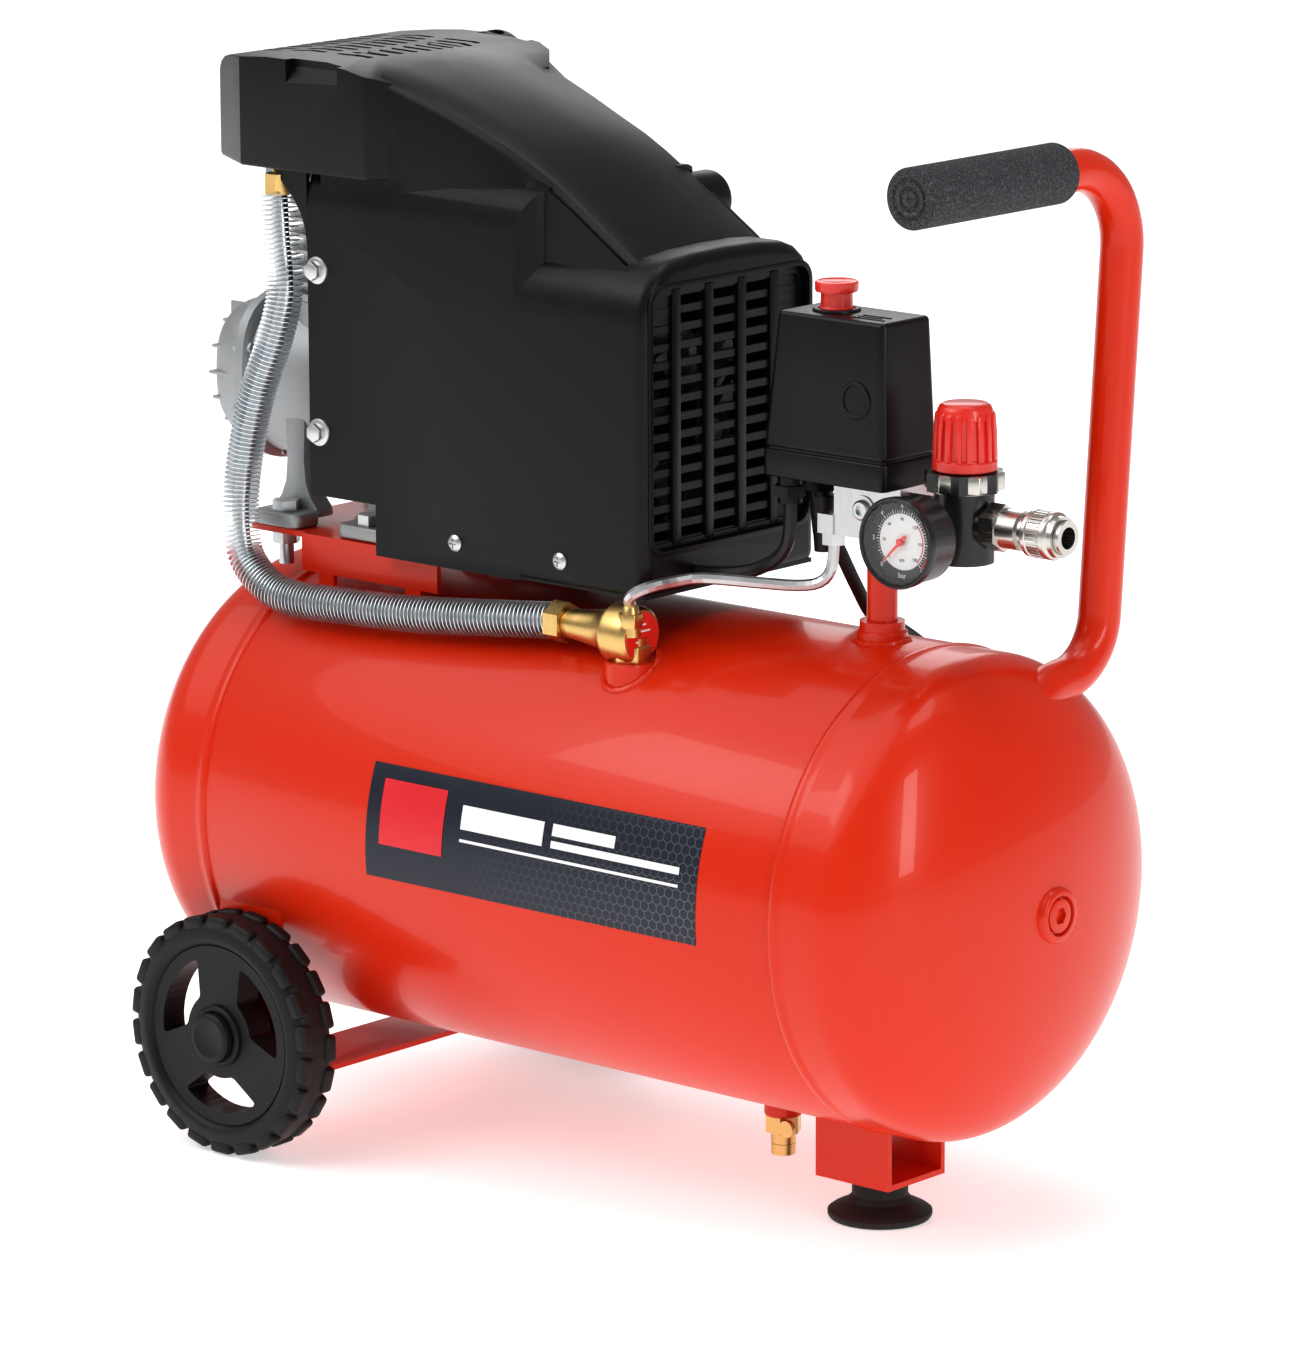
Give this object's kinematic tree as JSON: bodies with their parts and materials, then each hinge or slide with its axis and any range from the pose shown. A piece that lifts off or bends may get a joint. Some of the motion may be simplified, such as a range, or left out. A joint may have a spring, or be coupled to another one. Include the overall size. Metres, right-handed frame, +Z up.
{
  "type": "portable air compressor",
  "caption": "Portable piston air compressor: horizontal tank on wheels and a rubber foot, shrouded motor and pump, pressure switch, regulator, gauge, coupler and handle.",
  "frame": {"origin": "on the floor, midway between the ends, the sides and the base of the whole machine, its mains lead left out", "axes": "+X along the tank towards the end with the regulator and the rubber foot, -Y towards the front with the gauge, +Z up"},
  "size_m": [0.567, 0.4335, 0.58],
  "materials": {
    "tank_paint": "glossy red-orange enamel",
    "cast_aluminium": "sand-textured die casting",
    "shroud_plastic": "satin black moulded plastic",
    "switch_plastic": "satin black moulded plastic",
    "wheel_plastic": "matt black plastic",
    "foot_rubber": "moulded rubber",
    "grip_foam": "dark grey foam",
    "zinc_steel": "bright zinc plate",
    "finned_metal": "bright spiral fins",
    "nickel": "nickel plate",
    "brass": "machined brass",
    "machined_steel": "machined steel",
    "button_red": "glossy red plastic",
    "regulator_black": "black plastic",
    "dial_face": "printed white dial",
    "lens": "clear plastic window",
    "cable_sheath": "black rubber sheath"
  },
  "bodies": {
    "frame": {"tank_shell": "tank_paint", "tank_head_left": "tank_paint", "tank_head_right": "tank_paint", "inspection_plug": "zinc_steel", "wheel_bracket": "tank_paint", "axle_bolts": "zinc_steel", "foot_bracket": "tank_paint", "rubber_foot": "foot_rubber", "foot_bolt": "zinc_steel", "drain_body": "brass", "handle_tube": "tank_paint", "handle_grip": "grip_foam", "pump_platform": "tank_paint", "pump_bolts": "zinc_steel", "crankcase": "cast_aluminium", "end_cover": "cast_aluminium", "oil_sight_glass": "brass", "cylinder_barrel": "cast_aluminium", "valve_plate": "machined_steel", "cylinder_head": "cast_aluminium", "bearings": "machined_steel", "stator": "machined_steel", "end_bell": "cast_aluminium", "capacitor": "switch_plastic", "air_filter": "shroud_plastic", "shroud": "shroud_plastic", "shroud_screws": "zinc_steel", "tube_fittings": "brass", "finned_tube": "finned_metal", "check_valve": "brass", "unloader_tube": "zinc_steel", "riser_pipe": "tank_paint", "manifold": "zinc_steel", "switch_base": "switch_plastic", "switch_cover": "switch_plastic", "cable_glands": "switch_plastic", "motor_cable": "cable_sheath", "safety_valve": "brass", "regulator_body": "regulator_black", "gauge_case": "regulator_black", "gauge_dial": "dial_face", "gauge_lens": "lens", "coupler_body": "nickel", "mains_cord": "cable_sheath", "cord_coil": "cable_sheath", "cord_plug": "cable_sheath"},
    "front_wheel": {"wheel_front": "wheel_plastic", "hub_cap_front": "wheel_plastic"},
    "rear_wheel": {"wheel_rear": "wheel_plastic", "hub_cap_rear": "wheel_plastic"},
    "crank": {"crankshaft": "machined_steel", "rotor": "machined_steel", "fan": "shroud_plastic"},
    "piston_rod": {"piston": "machined_steel", "connecting_rod": "machined_steel"},
    "drain_knob": {"drain_screw": "brass"},
    "on_off_button": {"switch_button": "button_red"},
    "pressure_knob": {"regulator_knob": "button_red"},
    "needle": {"gauge_needle": "button_red"},
    "sleeve": {"coupler_sleeve": "nickel"}
  },
  "joints": [
    {"name": "front_wheel_spin", "type": "hinge", "parent": "frame", "child": "front_wheel", "pos_m": [-0.1765, -0.13, 0.065], "axis": [0, 1, 0], "continuous": true},
    {"name": "rear_wheel_spin", "type": "hinge", "parent": "frame", "child": "rear_wheel", "pos_m": [-0.1765, 0.13, 0.065], "axis": [0, 1, 0], "continuous": true},
    {"name": "crank_spin", "type": "hinge", "parent": "frame", "child": "crank", "pos_m": [-0.0555, 0, 0.396], "axis": [1, 0, 0], "continuous": true},
    {"name": "piston_slide", "type": "slide", "parent": "frame", "child": "piston_rod", "axis": [0, 0, 1], "range_m": [0, 0.03]},
    {"name": "drain_turn", "type": "hinge", "parent": "frame", "child": "drain_knob", "pos_m": [0.0945, 0, 0.03], "axis": [0, 0, 1], "range_deg": [0, 720]},
    {"name": "button_press", "type": "slide", "parent": "frame", "child": "on_off_button", "axis": [0, 0, -1], "range_m": [0, 0.006]},
    {"name": "pressure_turn", "type": "hinge", "parent": "frame", "child": "pressure_knob", "pos_m": [0.2185, -0.008, 0.415], "axis": [0, 0, 1], "range_deg": [-1080, 1080]},
    {"name": "needle_swing", "type": "hinge", "parent": "frame", "child": "needle", "pos_m": [0.2175, -0.056, 0.369], "axis": [0, 1, 0], "range_deg": [0, 270], "stiffness_Nm_per_rad": 0.0001},
    {"name": "sleeve_slide", "type": "slide", "parent": "frame", "child": "sleeve", "axis": [-1, 0, 0], "range_m": [0, 0.004], "stiffness_N_per_m": 300}
  ]
}
